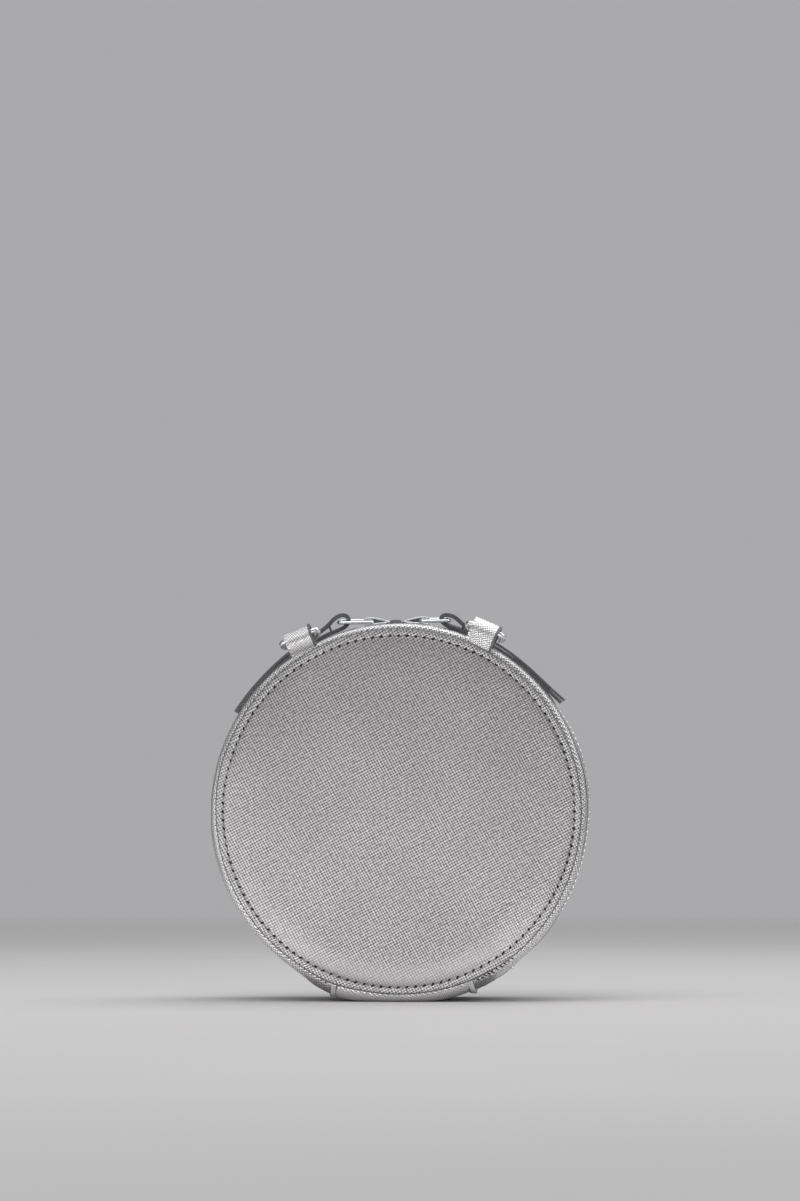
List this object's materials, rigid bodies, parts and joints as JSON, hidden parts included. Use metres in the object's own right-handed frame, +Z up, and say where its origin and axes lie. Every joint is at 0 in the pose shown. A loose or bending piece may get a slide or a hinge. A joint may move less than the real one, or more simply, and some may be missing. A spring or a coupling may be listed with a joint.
{
  "type": "round zip bag",
  "caption": "Round zip bag in silver cross-hatched leather that stands on a flattened base, with strap rings in leather tabs, zip sliders with leather pulls, and a front that swings open.",
  "frame": {"origin": "middle of the base on the standing plane", "axes": "+Z up, +Y from the back panel, which carries the strap tabs, to the front panel, along the disc's axis; +X to the right seen from behind the bag"},
  "size_m": [0.1794, 0.07, 0.1843],
  "materials": {
    "silver_leather": "metallic silver, cross-hatch embossed",
    "pull_leather": "metallic silver with dark painted edges",
    "board": "raw fibreboard",
    "lining": "woven",
    "zip_tape": "woven",
    "zip_metal": "polished",
    "chrome": "polished"
  },
  "bodies": {
    "back_half": {"back_panel": "silver_leather", "back_board": "board", "back_lining": "lining", "back_gusset": "silver_leather", "back_gusset_lining": "lining", "zip_tape_back": "zip_tape", "zip_teeth_back": "zip_metal", "zip_stops_back": "zip_metal", "base": "silver_leather", "base_lining": "lining", "seam_welt_left": "silver_leather", "seam_welt_right": "silver_leather", "ring_tab_left": "silver_leather", "ring_tab_right": "silver_leather"},
    "front_half": {"front_panel": "silver_leather", "front_board": "board", "front_lining": "lining", "front_gusset": "silver_leather", "front_gusset_lining": "lining", "zip_tape_front": "zip_tape", "zip_teeth_front": "zip_metal", "zip_stops_front": "zip_metal"},
    "slider_left": {"slider_left": "chrome"},
    "slider_right": {"slider_right": "chrome"},
    "link_left": {"pull_link_left": "chrome"},
    "link_right": {"pull_link_right": "chrome"},
    "pull_left": {"leather_pull_left": "pull_leather"},
    "pull_right": {"leather_pull_right": "pull_leather"},
    "ring_left": {"d_ring_left": "chrome"},
    "ring_right": {"d_ring_right": "chrome"}
  },
  "joints": [
    {"name": "front_opening", "type": "hinge", "parent": "back_half", "child": "front_half", "pos_m": [0, 0.0335, 0.0034], "axis": [-1, 0, 0], "range_deg": [0, 50]},
    {"name": "slider_left_travel", "type": "hinge", "parent": "back_half", "child": "slider_left", "pos_m": [0, 0, 0.0884], "axis": [0, -1, 0], "range_deg": [0, 130]},
    {"name": "slider_right_travel", "type": "hinge", "parent": "back_half", "child": "slider_right", "pos_m": [0, 0, 0.0884], "axis": [0, 1, 0], "range_deg": [0, 130]},
    {"name": "link_left_swing", "type": "hinge", "parent": "slider_left", "child": "link_left", "pos_m": [-0.01435, 0, 0.17954], "axis": [0, 1, 0], "range_deg": [0, 150]},
    {"name": "link_right_swing", "type": "hinge", "parent": "slider_right", "child": "link_right", "pos_m": [0.01084, 0, 0.18002], "axis": [0, -1, 0], "range_deg": [0, 150]},
    {"name": "pull_left_lift", "type": "hinge", "parent": "link_left", "child": "pull_left", "pos_m": [-0.02775, 0, 0.17932], "axis": [0, 1, 0], "range_deg": [0, 30]},
    {"name": "pull_right_lift", "type": "hinge", "parent": "link_right", "child": "pull_right", "pos_m": [0.02424, 0, 0.18032], "axis": [0, -1, 0], "range_deg": [0, 30]},
    {"name": "ring_left_flip", "type": "hinge", "parent": "back_half", "child": "ring_left", "pos_m": [-0.04643, -0.0304, 0.17002], "axis": [0.9311, 0, 0.3649], "range_deg": [0, 200]},
    {"name": "ring_right_flip", "type": "hinge", "parent": "back_half", "child": "ring_right", "pos_m": [0.04061, -0.0304, 0.17314], "axis": [0.9311, 0, -0.3649], "range_deg": [0, 200]}
  ],
  "couplings": [
    {"joint": "slider_left_travel", "follows": "front_opening", "ratio": 2.6},
    {"joint": "slider_right_travel", "follows": "front_opening", "ratio": 2.6},
    {"joint": "link_left_swing", "follows": "front_opening", "ratio": 3},
    {"joint": "link_right_swing", "follows": "front_opening", "ratio": 3}
  ]
}
